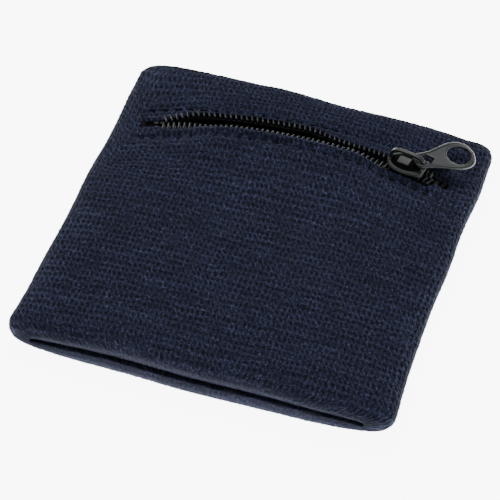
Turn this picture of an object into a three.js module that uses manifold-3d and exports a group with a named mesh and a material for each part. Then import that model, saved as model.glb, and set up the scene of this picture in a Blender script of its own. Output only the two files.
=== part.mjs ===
// Sweat wristband with a zipped pocket, lying flat.
//
// A double-walled knitted tube, pressed flat, 80 mm wide (X, fold to fold), 88 mm long
// (Y, mouth to mouth) and 8.4 mm thick (Z). The outer ply of its upper panel is slit and
// carries a small coil zip; the pocket is the space between the two plies of that panel.
//
// Frame: millimetres, +Z up, origin on the surface the band lies on, under the middle of
// the band. +X runs along the zip towards the end where the slider is parked, +Y runs
// along the tube towards the mouth that the zip is nearer to.
import * as THREE from 'three';
import { mergeVertices } from 'three/addons/utils/BufferGeometryUtils.js';
import Module from 'manifold-3d';

const wasm = await Module();
wasm.setup();

// ---------------------------------------------------------------- driving dimensions
const BAND_W = 80; // across the flattened tube, fold to fold
const BAND_L = 88; // along the tube, mouth to mouth
const CORNER_R = 5; // plan rounding of the four corners
const GAP = 0.3; // clearance kept between touching pieces
const PLATE_X = 35.7; // half width of the flat plies; the folds start GAP outside

// levels of the stack, from the resting surface up
const Z_OUT_LOW = [0, 1.6];
const Z_IN_LOW = [1.9, 3.1];
const Z_IN_UP = [4.6, 5.7];
const Z_OUT_UP = [6.2, 8.4];
const Z_OUT_OVER_TAPE = 7.45; // underside of the outer ply where it covers the tape
const Z_TAPE = [6.75, 7.15];
const Z_COIL = [7.4, 8.5];
const Z_SLIDER_BOTTOM = [6.0, 6.5];
const Z_SLIDER_TOP = [8.75, 9.45];

// zip
const ZIP_Y = 26; // where the zip's centre line crosses X = 0
const ZIP_TILT = THREE.MathUtils.degToRad(3); // the zip is sewn in slightly askew
const ZIP_R = 110; // and bows towards the far mouth, on this radius
const ZIP_BOW = 2.5; // how far the middle of the bow lies beyond ZIP_Y
const SLOT_HALF_L = 34.2;
const SLOT_HALF_W = 2.9;
const SLOT_EXTRA = 1.7; // the slit is wider where the coils stand apart
const TAPE_HALF_L = 34.5;
const TAPE_OUT = 9.0; // tape edge from the centre line
const TAPE_FAR_L = 31.6; // half length of the far tape's outer edge, which the bow spreads
const TAPE_IN = 0.6;
const COIL_X = [-29.7, 30.9];
const COIL_IN = 0.15; // interlocked: the two coils meet at the centre line
const COIL_OUT = 1.95;
const GAPE = 2.3; // how far each coil stands off the centre line where the zip is open
const GAPE_LEFT = [-31, -21]; // the gape grows between these
const GAPE_RIGHT = [15.5, 24.5]; // and closes again inside the slider
const STITCH_Y = 4.9; // topstitch from the centre line
const STITCH_HALF_L = 32.6;
const TACK_X = 33.4;

// slider, about its own centre, nose towards -X
const SLIDER_X = 24.6;
const SLIDER_HALF_L = 4.3;
const SLIDER_HALF_W = 3.2;
const CHEEK_IN = 2.25;
const CHEEK_OUT = 2.6;
const BRIDGE_W = 1.1;
const BRIDGE_TOP = 12.5;
const BRIDGE_T = 0.62;

// puller
const PULL_T = 1.0;
const PULL_LEN = 1.03; // outline scale along and across
const PULL_WID = 1.08;
const PULL_BAR_U = 2.2; // yoke bar, along the slider from its centre
const PULL_BAR_Z = 10.75;
const PULL_YAW = THREE.MathUtils.degToRad(45); // swung towards the far mouth, from the slider's own axis
const PULL_PITCH = THREE.MathUtils.degToRad(4); // tip lower than the yoke

// ---------------------------------------------------------------- helpers
const solidOf = (geometry) => {
  const g = geometry.index ? geometry.toNonIndexed() : geometry.clone();
  g.deleteAttribute('normal');
  g.deleteAttribute('uv');
  const m = mergeVertices(g, 1e-5);
  return new wasm.Manifold(
    new wasm.Mesh({
      numProp: 3,
      vertProperties: new Float32Array(m.attributes.position.array),
      triVerts: new Uint32Array(m.index.array),
    }),
  );
};

const geometryOf = (solid) => {
  const m = solid.getMesh();
  const g = new THREE.BufferGeometry();
  g.setAttribute('position', new THREE.BufferAttribute(new Float32Array(m.vertProperties), 3));
  g.setIndex(new THREE.BufferAttribute(new Uint32Array(m.triVerts), 1));
  const flat = g.toNonIndexed();
  flat.computeVertexNormals();
  return flat;
};

const shapeOf = (points, holes = []) => {
  const s = new THREE.Shape(points.map(([x, y]) => new THREE.Vector2(x, y)));
  for (const hole of holes) s.holes.push(new THREE.Path(hole.map(([x, y]) => new THREE.Vector2(x, y))));
  return s;
};

// upright prism over a plan outline
const prism = (points, [z0, z1], holes = []) => {
  const g = new THREE.ExtrudeGeometry(shapeOf(points, holes), { depth: z1 - z0, bevelEnabled: false });
  g.translate(0, 0, z0);
  return g;
};

const block = ([x0, x1], [y0, y1], [z0, z1]) => {
  const g = new THREE.BoxGeometry(x1 - x0, y1 - y0, z1 - z0);
  g.translate((x0 + x1) / 2, (y0 + y1) / 2, (z0 + z1) / 2);
  return g;
};

// outline in the XZ plane, extruded along Y from y0 to y1
const slab = (points, [y0, y1]) => {
  const g = new THREE.ExtrudeGeometry(shapeOf(points), { depth: y1 - y0, bevelEnabled: false });
  g.rotateX(Math.PI / 2); // (x, y, z) -> (x, -z, y)
  g.translate(0, y1, 0);
  return g;
};

const roundedRect = (hx, hy, r, n = 6) => {
  const pts = [];
  [[1, 1, 0], [-1, 1, 90], [-1, -1, 180], [1, -1, 270]].forEach(([sx, sy, a0]) => {
    for (let i = 0; i <= n; i += 1) {
      const a = THREE.MathUtils.degToRad(a0 + (90 * i) / n);
      pts.push([sx * (hx - r) + r * Math.cos(a), sy * (hy - r) + r * Math.sin(a)]);
    }
  });
  return pts;
};

const smooth = (t) => {
  const c = Math.min(1, Math.max(0, t));
  return c * c * (3 - 2 * c);
};
// how far a coil stands off its interlocked place, at x along the zip
const gapeAt = (x) =>
  GAPE *
  Math.min(
    smooth((x - GAPE_LEFT[0]) / (GAPE_LEFT[1] - GAPE_LEFT[0])),
    smooth((GAPE_RIGHT[1] - x) / (GAPE_RIGHT[1] - GAPE_RIGHT[0])),
  );
const span = (a, b, step) => {
  const n = Math.max(1, Math.round((b - a) / step));
  return Array.from({ length: n + 1 }, (_, i) => a + ((b - a) * i) / n);
};
// a plan outline given along and across a straight zip, bent on to the zip's bow
const bow = (points) =>
  points.map(([s, n]) => [
    (ZIP_R + n) * Math.sin(s / ZIP_R),
    ZIP_BOW - ZIP_R + (ZIP_R + n) * Math.cos(s / ZIP_R),
  ]);
const mirrorY = (points) => points.map(([x, y]) => [x, -y]).reverse();

const group = new THREE.Group();
const zip = new THREE.Group(); // x along the zip, y across it
zip.position.set(0, ZIP_Y, 0);
zip.rotation.z = ZIP_TILT;
group.add(zip);

const KNIT = { color: 0x20263a, roughness: 0.95, metalness: 0 };
const TAPE = { color: 0x0c0d10, roughness: 0.9, metalness: 0 };
const COIL = { color: 0x08090b, roughness: 0.3, metalness: 0 };
const CAST = { color: 0x343a3b, roughness: 0.38, metalness: 0.55 };
const THREAD = { color: 0x151a2a, roughness: 0.85, metalness: 0 };

const add = (name, geometry, look, parent = group) => {
  const mesh = new THREE.Mesh(geometry, new THREE.MeshStandardMaterial(look));
  mesh.name = name;
  parent.add(mesh);
  return mesh;
};

// a strip of constant width along the bow
const strip = ([x0, x1], [y0, y1], z, step = 2) =>
  prism(bow([...span(x0, x1, step).map((x) => [x, y0]), ...span(x0, x1, step).map((x) => [x, y1]).reverse()]), z);

// turns a solid given in the zip's own axes into the band's axes
const ZIP_MATRIX = new THREE.Matrix4().makeRotationZ(ZIP_TILT).setPosition(0, ZIP_Y, 0);
const inBand = (geometry) => geometry.clone().applyMatrix4(ZIP_MATRIX);

// ---------------------------------------------------------------- knitted tube
const HX = BAND_W / 2;
const HY = BAND_L / 2;
const outline = solidOf(prism(roundedRect(HX, HY, CORNER_R), [-5, 20]));
const ply = (z) => solidOf(block([-PLATE_X, PLATE_X], [-HY, HY], z)).intersect(outline);

add('outer_knit_lower', geometryOf(ply(Z_OUT_LOW)), KNIT);
add('inner_knit_lower', geometryOf(ply(Z_IN_LOW)), KNIT);
add('inner_knit_upper', geometryOf(ply(Z_IN_UP)), KNIT);

// the outer ply of the upper panel: slit for the zip, thinned where it covers the tape
let cover = ply(Z_OUT_UP);
cover = cover.subtract(
  solidOf(
    inBand(
      prism(
        bow([
          ...span(-TAPE_HALF_L - 0.4, TAPE_HALF_L + 0.4, 2.5).map((x) => [x, -TAPE_OUT - 0.4]),
          [TAPE_HALF_L + 0.4, TAPE_IN],
          ...span(-TAPE_FAR_L - 0.5, TAPE_FAR_L + 0.5, 2.5).map((x) => [x, TAPE_OUT + 0.4]).reverse(),
          [-TAPE_HALF_L - 0.4, TAPE_IN],
        ]),
        [Z_OUT_UP[0] - 1, Z_OUT_OVER_TAPE],
      ),
    ),
  ),
);
const slotEdge = () =>
  span(-SLOT_HALF_L, SLOT_HALF_L, 2).map((x) => [x, SLOT_HALF_W + (SLOT_EXTRA * gapeAt(x)) / GAPE]);
cover = cover.subtract(
  solidOf(inBand(prism(bow([...slotEdge().reverse(), ...slotEdge().map(([x, y]) => [x, -y])]), [5, 10]))),
);
add('outer_knit_upper', geometryOf(cover), KNIT);

// each side of the tube, where both plies turn from the lower panel into the upper one
const foldProfile = (sign) => {
  const x0 = PLATE_X + GAP;
  const zc = Z_OUT_UP[1] / 2;
  const rx = HX - x0;
  const innerLow = Z_IN_LOW[1];
  const innerUp = Z_IN_UP[0];
  const ri = (innerUp - innerLow) / 2;
  const zi = (innerUp + innerLow) / 2;
  const pts = [];
  const n = 12;
  for (let i = 0; i <= n; i += 1) {
    const a = -Math.PI / 2 + (Math.PI * i) / n;
    pts.push([x0 + rx * Math.cos(a), zc + zc * Math.sin(a)]);
  }
  const m = 6;
  for (let i = 0; i <= m; i += 1) {
    const a = Math.PI / 2 - (Math.PI * i) / m;
    pts.push([x0 + ri * Math.cos(a), zi + ri * Math.sin(a)]);
  }
  return sign > 0 ? pts : pts.map(([x, z]) => [-x, z]).reverse();
};
for (const [name, sign] of [['left_fold', -1], ['right_fold', 1]]) {
  add(name, geometryOf(solidOf(slab(foldProfile(sign), [-HY, HY])).intersect(outline)), KNIT);
}

// overlocked thread that closes the inner ply near the far mouth, facing the wrist
add('closing_seam_lower', block([-33.5, 33.5], [40, 42.4], [3.4, 3.7]), THREAD);
add('closing_seam_upper', block([-33.5, 33.5], [40, 42.4], [4.0, 4.3]), THREAD);

// ---------------------------------------------------------------- zip tapes and coils
const tapeNear = (outer = TAPE_HALF_L) => {
  const inner = span(-TAPE_HALF_L, TAPE_HALF_L, 1.6).map((x) => [x, -(TAPE_IN + gapeAt(x))]);
  return [...span(-outer, outer, 2.5).map((x) => [x, -TAPE_OUT]), ...inner.reverse()];
};
add('zip_tape_near', prism(bow(tapeNear()), Z_TAPE), TAPE, zip);
add('zip_tape_far', prism(bow(mirrorY(tapeNear(TAPE_FAR_L))), Z_TAPE), TAPE, zip);

const coilNear = () => {
  const xs = span(COIL_X[0], COIL_X[1], 1.4);
  return [
    ...xs.map((x) => [x, -(COIL_OUT + gapeAt(x))]),
    ...xs.map((x) => [x, -(COIL_IN + gapeAt(x))]).reverse(),
  ];
};
add('coil_near', prism(bow(coilNear()), Z_COIL), COIL, zip);
add('coil_far', prism(bow(mirrorY(coilNear())), Z_COIL), COIL, zip);

// end stops
add('top_stop_near', strip([-31.3, -30.0], [-1.9, -0.3], [7.45, 8.6]), COIL, zip);
add('top_stop_far', strip([-31.3, -30.0], [0.3, 1.9], [7.45, 8.6]), COIL, zip);
add('bottom_stop', strip([31.2, 32.4], [-1.9, 1.9], [7.45, 8.6]), COIL, zip);

// ---------------------------------------------------------------- stitching
for (const [name, side] of [['topstitch_near', -1], ['topstitch_far', 1]]) {
  const y = side * STITCH_Y;
  add(name, strip([-STITCH_HALF_L, STITCH_HALF_L], [y - 0.2, y + 0.2], [8.7, 8.95]), THREAD, zip);
}
for (const [name, side] of [['bar_tack_left', -1], ['bar_tack_right', 1]]) {
  add(name, strip([side * TACK_X - 0.5, side * TACK_X + 0.5], [-2.6, 2.6], [7.45, 8.7]), THREAD, zip);
}

// ---------------------------------------------------------------- slider
// shield outline, nose at -u
const shield = (hl, hw) => {
  const pts = [];
  const n = 8;
  // tail, slightly narrower than the middle, corners rounded
  pts.push([hl, -0.72 * hw], [hl, 0.72 * hw], [hl - 0.45, 0.84 * hw], [hl * 0.25, hw], [-hl * 0.15, hw * 0.99]);
  // round the nose
  for (let i = 1; i < n * 2; i += 1) {
    const a = Math.PI / 2 + (Math.PI * i) / (n * 2);
    pts.push([-hl * 0.2 + 0.8 * hl * Math.cos(a), hw * 0.96 * Math.sin(a)]);
  }
  pts.push([-hl * 0.15, -hw * 0.99], [hl * 0.25, -hw], [hl - 0.45, -0.84 * hw]);
  return pts;
};

const bridgeProfile = () => {
  // centre line of the bridge, in u and z, from the nose foot over to the tail foot
  const top = BRIDGE_TOP - BRIDGE_T / 2;
  const curve = new THREE.CatmullRomCurve3(
    [
      [-3.75, Z_SLIDER_TOP[1] - 0.3],
      [-3.72, Z_SLIDER_TOP[1] + 0.7],
      [-3.3, top - 0.75],
      [-2.1, top - 0.08],
      [-0.3, top],
      [1.6, top - 0.1],
      [3.1, top - 0.42],
      [3.8, top - 1.3],
      [3.84, Z_SLIDER_TOP[1] + 0.6],
      [3.84, Z_SLIDER_TOP[1] - 0.3],
    ].map(([u, z]) => new THREE.Vector3(u, z, 0)),
    false,
    'centripetal',
  );
  const n = 22;
  const left = [];
  const right = [];
  for (let i = 0; i <= n; i += 1) {
    const p = curve.getPointAt(i / n);
    const t = curve.getTangentAt(i / n);
    left.push([p.x - (t.y * BRIDGE_T) / 2, p.y + (t.x * BRIDGE_T) / 2]);
    right.push([p.x + (t.y * BRIDGE_T) / 2, p.y - (t.x * BRIDGE_T) / 2]);
  }
  return [...right, ...left.reverse()];
};

let slider = solidOf(prism(shield(SLIDER_HALF_L, SLIDER_HALF_W), Z_SLIDER_TOP));
slider = slider.add(solidOf(prism(shield(SLIDER_HALF_L - 0.1, 2.9), Z_SLIDER_BOTTOM)));
// wedge that parts the two coils and joins the two plates at the nose
slider = slider.add(
  solidOf(prism([[-3.95, -0.6], [-1.85, -0.05], [-1.85, 0.05], [-3.95, 0.6]], [6.3, 9.0])),
);
// cheeks that guide the closed chain under the tail
for (const side of [-1, 1]) {
  const y = side > 0 ? [CHEEK_IN, CHEEK_OUT] : [-CHEEK_OUT, -CHEEK_IN];
  slider = slider.add(solidOf(block([0, SLIDER_HALF_L - 0.3], y, [7.6, 9.0])));
}
slider = slider.add(solidOf(slab(bridgeProfile(), [-BRIDGE_W / 2, BRIDGE_W / 2])));
const sliderMesh = add('slider_body', geometryOf(slider), CAST, zip);
const [[sliderU, sliderV]] = bow([[SLIDER_X, 0]]);
const sliderYaw = -SLIDER_X / ZIP_R;
sliderMesh.position.set(sliderU, sliderV, 0);
sliderMesh.rotation.z = sliderYaw;

// ---------------------------------------------------------------- puller
// flat outline about the yoke bar: +x towards the finger end
const pullerOutline = () => {
  const curve = new THREE.CatmullRomCurve3(
    [
      [-0.55, 0], [-0.5, 1.1], [0.1, 1.95], [1.2, 2.2], [3.0, 2.35], [5.0, 2.95], [7.0, 3.65], [8.8, 3.95], [10.6, 3.6],
      [12.0, 2.4], [12.75, 0],
    ].map(([x, y]) => new THREE.Vector3(x * PULL_LEN, y * PULL_WID, 0)),
    false,
    'centripetal',
  );
  const half = curve.getPoints(26).map((p) => [p.x, p.y]);
  const other = half.slice(1, -1).map(([x, y]) => [x, -y]).reverse();
  return [...half, ...other].reverse();
};
// yoke window: square at the bar, pointed towards the finger end
const yokeWindow = [[0.5, -1.85], [2.4, -1.85], [3.95, 0], [2.4, 1.85], [0.5, 1.85]];
const fingerWindow = () => {
  const pts = [];
  for (let i = 0; i < 22; i += 1) {
    const a = (2 * Math.PI * i) / 22;
    const c = Math.cos(a);
    pts.push([
      PULL_LEN * (9.0 + (c > 0 ? 2.85 : 2.3) * c),
      PULL_WID * 2.75 * Math.sin(a) * (c < 0 ? 1 - 0.12 * c * c : 1),
    ]);
  }
  return pts;
};
const pullerGeometry = prism(pullerOutline(), [-PULL_T / 2, PULL_T / 2], [yokeWindow, fingerWindow()]);
const pullerMount = new THREE.Group();
pullerMount.position.set(
  sliderU + PULL_BAR_U * Math.cos(sliderYaw),
  sliderV + PULL_BAR_U * Math.sin(sliderYaw),
  PULL_BAR_Z,
);
pullerMount.rotation.z = sliderYaw + PULL_YAW;
zip.add(pullerMount);
const pullerMesh = add('puller', geometryOf(solidOf(pullerGeometry)), CAST, pullerMount);
pullerMesh.rotation.y = PULL_PITCH;

export default group;
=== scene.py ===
import math

import bpy
import bmesh
import numpy as np
from mathutils import Matrix, Vector


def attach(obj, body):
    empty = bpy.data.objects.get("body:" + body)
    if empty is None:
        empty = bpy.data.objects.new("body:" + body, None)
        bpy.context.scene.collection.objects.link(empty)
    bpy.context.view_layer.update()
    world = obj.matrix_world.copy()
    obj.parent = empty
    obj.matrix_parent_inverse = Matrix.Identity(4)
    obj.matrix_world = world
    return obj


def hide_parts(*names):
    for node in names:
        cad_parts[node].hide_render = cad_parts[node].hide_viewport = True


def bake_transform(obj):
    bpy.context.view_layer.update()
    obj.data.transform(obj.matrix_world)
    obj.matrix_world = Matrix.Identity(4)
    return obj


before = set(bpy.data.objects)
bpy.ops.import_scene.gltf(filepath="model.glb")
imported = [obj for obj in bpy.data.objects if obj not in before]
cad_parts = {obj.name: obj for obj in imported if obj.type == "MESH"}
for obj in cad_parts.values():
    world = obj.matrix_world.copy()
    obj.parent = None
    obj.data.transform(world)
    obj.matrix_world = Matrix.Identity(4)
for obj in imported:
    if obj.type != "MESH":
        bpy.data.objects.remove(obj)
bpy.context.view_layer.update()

MM = 0.001
RNG = np.random.default_rng(11)

# ------------------------------------------------------------------ the part's own dimensions, mm
HALF_W, HALF_L, CORNER = 40.0, 44.0, 4.2
Z_MID = 4.2
ZIP_Y, ZIP_TILT = 26.0, math.radians(3.0)
ZIP_R, ZIP_BOW = 110.0, 2.5
GAPE, GAPE_LEFT, GAPE_RIGHT = 2.3, (-31.0, -21.0), (15.5, 24.5)
NEAR_GAPE = 1.2  # the near coil stays closer to the middle and rides up instead
STITCH_NEAR, STITCH_FAR = 4.35, 4.9
SLIDER_X = 24.6
BAR_U, BAR_Z = 2.2, 10.75
PULL_YAW, PULL_PITCH = math.radians(45.0), math.radians(4.0)
PULL_LEN, PULL_WID = 1.03, 1.08
COIL_PITCH = 1.13
CT, ST = math.cos(ZIP_TILT), math.sin(ZIP_TILT)


def smooth(t):
    t = np.clip(t, 0.0, 1.0)
    return t * t * (3 - 2 * t)


def gape(x):
    """How far each coil stands off its closed place, at x along the zip."""
    x = np.asarray(x, float)
    return GAPE * np.minimum(
        smooth((x - GAPE_LEFT[0]) / (GAPE_LEFT[1] - GAPE_LEFT[0])),
        smooth((GAPE_RIGHT[1] - x) / (GAPE_RIGHT[1] - GAPE_RIGHT[0])),
    )


def from_zip(p):
    """Along, across and up a straight zip, bent on to its bow in the band's axes, mm."""
    p = np.asarray(p, float)
    out = p.copy()
    x = (ZIP_R + p[..., 1]) * np.sin(p[..., 0] / ZIP_R)
    y = ZIP_BOW - ZIP_R + (ZIP_R + p[..., 1]) * np.cos(p[..., 0] / ZIP_R)
    out[..., 0] = x * CT - y * ST
    out[..., 1] = ZIP_Y + x * ST + y * CT
    return out


def from_slider(p):
    """The slider's own axes (tail forward, left, up) to the band's axes, mm."""
    p = np.asarray(p, float)
    out = p.copy()
    c0 = from_zip([SLIDER_X, 0.0, 0.0])
    a = ZIP_TILT - SLIDER_X / ZIP_R
    out[..., 0] = c0[0] + p[..., 0] * math.cos(a) - p[..., 1] * math.sin(a)
    out[..., 1] = c0[1] + p[..., 0] * math.sin(a) + p[..., 1] * math.cos(a)
    return out


_S = np.linspace(-46.0, 46.0, 400)
_LINE = from_zip(np.stack([_S, _S * 0, _S * 0], 1))


def zip_line(x):
    """Height in plan of the zip's centre line over band x, mm."""
    return np.interp(x, _LINE[:, 0], _LINE[:, 1])


def parted(x, side):
    """How far one coil has moved off its closed line, mm: the near one parts later and less."""
    x = np.asarray(x, float)
    if side > 0:
        return gape(x) * (1 - 0.70 * smooth((x - 1.0) / 10.0))
    return NEAR_GAPE * smooth((x + 25.0) / 10.0) * smooth((24.5 - x) / 9.0)


def ride_up(x):
    """How far the near lip stands up where the pocket gapes, mm."""
    x = np.asarray(x, float)
    return 1.45 * smooth((x + 25.0) / 9.0) * smooth((21.5 - x) / 8.0)


def ride_coil(x):
    """How far the near coil and its tape follow the lip up, mm."""
    x = np.asarray(x, float)
    return 1.05 * smooth((x + 22.0) / 8.0) * smooth((20.0 - x) / 8.0)


def make(name, verts_mm, faces, smooth_shade=True):
    me = bpy.data.meshes.new(name)
    me.from_pydata((np.asarray(verts_mm, float) * MM).tolist(), [], faces.tolist() if hasattr(faces, "tolist") else faces)
    me.validate()
    if smooth_shade:
        me.polygons.foreach_set("use_smooth", [True] * len(me.polygons))
    me.update()
    o = bpy.data.objects.new(name, me)
    bpy.context.scene.collection.objects.link(o)
    return o


def grid_faces(n, m, close_n, close_m, base=0):
    """Quads over m rows of n points: index = row * n + column."""
    i = np.arange(n if close_n else n - 1)
    j = np.arange(m if close_m else m - 1)
    I, J = np.meshgrid(i, j)
    I, J = I.ravel(), J.ravel()
    I2, J2 = (I + 1) % n, (J + 1) % m
    return np.stack([J * n + I, J2 * n + I, J2 * n + I2, J * n + I2], 1) + base


def value_noise(u, v, cells, seed):
    """Smooth 2-D noise, 0 to 1, one random value per lattice point."""
    r = np.random.default_rng(seed).random((257, 257))
    a, b = u / cells, v / cells
    i, j = np.floor(a).astype(int), np.floor(b).astype(int)
    fa, fb = smooth(a - i), smooth(b - j)
    g = lambda p, q: r[p % 257, q % 257]
    return (g(i, j) * (1 - fa) + g(i + 1, j) * fa) * (1 - fb) + (g(i, j + 1) * (1 - fa) + g(i + 1, j + 1) * fa) * fb


# ------------------------------------------------------------------ camera, light, floor
def camera():
    az, el, roll = math.radians(15.27), math.radians(44.04), math.radians(3.19)
    dist, focal = 617.0, 2950.0
    target = Vector((-1.53, -0.19, 0.0))
    back = Vector((math.sin(az) * math.cos(el), -math.cos(az) * math.cos(el), math.sin(el)))
    right = Vector((math.cos(az), math.sin(az), 0.0))
    up = back.cross(right)
    r2 = math.cos(roll) * right + math.sin(roll) * up
    u2 = -math.sin(roll) * right + math.cos(roll) * up
    m = Matrix.Identity(4)
    for k, axis in enumerate((r2, u2, back)):
        for row in range(3):
            m[row][k] = axis[row]
    m.translation = (target + back * dist) * MM
    data = bpy.data.cameras.new("camera")
    data.sensor_width = 36.0
    data.lens = focal / 500.0 * 36.0
    data.clip_start, data.clip_end = 0.01, 20.0
    cam = bpy.data.objects.new("camera", data)
    cam.matrix_world = m
    bpy.context.scene.collection.objects.link(cam)
    bpy.context.scene.camera = cam


def area_light(name, at, look, size, power, colour=(1, 1, 1)):
    data = bpy.data.lights.new(name, "AREA")
    data.shape = "RECTANGLE"
    data.size, data.size_y = size
    data.energy = power
    data.color = colour
    o = bpy.data.objects.new(name, data)
    o.location = at
    o.rotation_euler = (Vector(look) - Vector(at)).to_track_quat("-Z", "Y").to_euler()
    bpy.context.scene.collection.objects.link(o)
    return o


def stage():
    size = 3.0
    floor = make("floor", np.array([[-size, -size, 0], [size, -size, 0], [size, size, 0], [-size, size, 0]]) * 1000.0, [[0, 1, 2, 3]], False)
    floor.location.z = -0.00004
    m = bpy.data.materials.new("floor_paper")
    m.use_nodes = True
    b = m.node_tree.nodes["Principled BSDF"]
    b.inputs["Base Color"].default_value = (0.86, 0.865, 0.875, 1)
    b.inputs["Roughness"].default_value = 0.85
    b.inputs["Emission Color"].default_value = (1, 1, 1, 1)
    b.inputs["Emission Strength"].default_value = 8.0
    floor.data.materials.append(m)
    w = bpy.data.worlds.new("studio")
    bpy.context.scene.world = w
    w.use_nodes = True
    bg = w.node_tree.nodes["Background"]
    bg.inputs["Color"].default_value = (0.97, 0.98, 1.0, 1)
    bg.inputs["Strength"].default_value = 0.42
    area_light("key", (-0.16, 0.34, 0.62), (0, 0.0, 0), (0.55, 0.4), 5.0, (1.0, 0.99, 0.97))
    area_light("fill", (0.55, -0.35, 0.5), (0, 0, 0), (0.6, 0.6), 1.0, (0.96, 0.98, 1.0))


camera()
stage()


# ------------------------------------------------------------------ materials
def new_material(name):
    m = bpy.data.materials.new(name)
    m.use_nodes = True
    nt = m.node_tree
    return m, nt, nt.nodes, nt.nodes["Principled BSDF"]


def node(nt, kind, **inputs):
    n = nt.nodes.new(kind)
    for k, v in inputs.items():
        key = k.replace("_", " ")
        if key in n.inputs:
            n.inputs[key].default_value = v
        else:
            setattr(n, k, v)
    return n


def ramp(nt, stops):
    n = nt.nodes.new("ShaderNodeValToRGB")
    el = n.color_ramp.elements
    while len(el) < len(stops):
        el.new(0.5)
    for e, (p, c) in zip(el, stops):
        e.position = p
        e.color = c
    return n


def mix_rgb(nt, kind, fac, a, b):
    n = nt.nodes.new("ShaderNodeMix")
    n.data_type = "RGBA"
    n.blend_type = kind
    for socket, value in ((n.inputs[0], fac), (n.inputs[6], a), (n.inputs[7], b)):
        if hasattr(value, "links") or hasattr(value, "is_linked"):
            nt.links.new(value, socket)
        else:
            socket.default_value = value
    return n.outputs[2]


def math_node(nt, op, a, b=None, c=None):
    n = nt.nodes.new("ShaderNodeMath")
    n.operation = op
    for s, v in zip(n.inputs, (a, b, c)):
        if v is None:
            continue
        if hasattr(v, "is_linked"):
            nt.links.new(v, s)
        else:
            s.default_value = v
    return n.outputs[0]


def knit_material():
    m, nt, nodes, b = new_material("navy_knit")
    L = nt.links.new
    uv = node(nt, "ShaderNodeUVMap")
    uv.uv_map = "Yarn"
    # painted shade: a per-point mask that darkens the knit in its dimples, down in the slit, round the mouths' rims
    # and on the side folds
    shade_mask = node(nt, "ShaderNodeAttribute")
    shade_mask.attribute_name = "painted_shade"

    def noise_at(sx, sy, detail, roughness, distortion=0.0, shift=0.0):
        mp = node(nt, "ShaderNodeMapping")
        mp.inputs["Scale"].default_value = (sx, sy, 1.0)
        mp.inputs["Location"].default_value = (shift, shift * 1.7, 0.0)
        L(uv.outputs[0], mp.inputs["Vector"])
        n = node(nt, "ShaderNodeTexNoise", Scale=1.0, Detail=detail, Roughness=roughness, Distortion=distortion)
        L(mp.outputs[0], n.inputs["Vector"])
        return n.outputs[0]

    # yarn filaments lie mostly along the wales; their bright flecks are partly lighter yarn and partly painted
    # highlights on the fibres
    fibre = noise_at(4.6, 1.9, 3.0, 0.6, 0.5)
    clump = noise_at(1.5, 1.1, 2.0, 0.5, 0.3, 31.0)
    blotch = noise_at(0.06, 0.06, 3.0, 0.55, 0.0, 11.0)
    band = noise_at(0.10, 0.62, 2.0, 0.5, 0.0, 5.0)

    def spread(v, gain):
        n = nt.nodes.new("ShaderNodeMath")
        n.operation = "MULTIPLY_ADD"
        n.use_clamp = True
        L(v, n.inputs[0])
        n.inputs[1].default_value = gain
        n.inputs[2].default_value = 0.5 - 0.5 * gain
        return n.outputs[0]

    speck = noise_at(3.1, 2.1, 2.0, 0.6, 0.2, 71.0)
    f = math_node(nt, "POWER", spread(fibre, 3.6), 1.35)
    inv = math_node(nt, "SUBTRACT", 1.0, shade_mask.outputs["Fac"])
    shade = math_node(nt, "MULTIPLY_ADD", f, 1.12, 0.33)
    shade = math_node(nt, "MULTIPLY", shade, math_node(nt, "MULTIPLY_ADD", spread(clump, 2.4), 0.60, 0.64))
    shade = math_node(nt, "MULTIPLY", shade, math_node(nt, "MULTIPLY_ADD", spread(speck, 4.0), 0.75, 0.58))
    # painted shade: the colour is darkened where the mask is high
    shade = math_node(nt, "MULTIPLY", shade, math_node(nt, "MULTIPLY_ADD", math_node(nt, "POWER", inv, 1.5), 1.05, 0.24))
    shade = math_node(nt, "MULTIPLY", shade, math_node(nt, "MULTIPLY_ADD", spread(blotch, 1.6), 0.3, 0.85))
    shade = math_node(nt, "MULTIPLY", shade, math_node(nt, "MULTIPLY_ADD", spread(band, 2.2), 0.5, 0.72))
    # the bright fibre flecks get a greyer tone: partly yarn colour, partly painted highlight
    tone = mix_rgb(nt, "MIX", f, (0.0270, 0.0333, 0.0850, 1), (0.0410, 0.0472, 0.0825, 1))
    scale = nt.nodes.new("ShaderNodeVectorMath")
    scale.operation = "SCALE"
    L(tone, scale.inputs[0])
    L(shade, scale.inputs["Scale"])
    L(scale.outputs[0], b.inputs["Base Color"])
    b.inputs["Roughness"].default_value = 0.9
    b.inputs["Specular IOR Level"].default_value = 0.1
    b.inputs["Sheen Weight"].default_value = 0.035
    b.inputs["Sheen Roughness"].default_value = 0.4
    b.inputs["Sheen Tint"].default_value = (0.66, 0.74, 1.0, 1)
    bump = node(nt, "ShaderNodeBump", Strength=1.0, Distance=0.00030)
    L(fibre, bump.inputs["Height"])
    L(bump.outputs[0], b.inputs["Normal"])
    return m


def tape_material():
    m, nt, nodes, b = new_material("black_tape")
    L = nt.links.new
    tc = node(nt, "ShaderNodeTexCoord")
    wave = node(nt, "ShaderNodeTexWave", Scale=700.0, Distortion=0.4)
    wave.bands_direction = "X"
    L(tc.outputs["Object"], wave.inputs["Vector"])
    cross = node(nt, "ShaderNodeTexWave", Scale=450.0, Distortion=0.3)
    cross.bands_direction = "Y"
    L(tc.outputs["Object"], cross.inputs["Vector"])
    h = math_node(nt, "MULTIPLY", wave.outputs["Fac"], cross.outputs["Fac"])
    r = ramp(nt, [(0.0, (0.0025, 0.003, 0.0045, 1)), (1.0, (0.012, 0.013, 0.018, 1))])
    L(h, r.inputs[0])
    L(r.outputs[0], b.inputs["Base Color"])
    b.inputs["Roughness"].default_value = 0.85
    bump = node(nt, "ShaderNodeBump", Strength=0.6, Distance=0.0001)
    L(h, bump.inputs["Height"])
    L(bump.outputs[0], b.inputs["Normal"])
    return m


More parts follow.
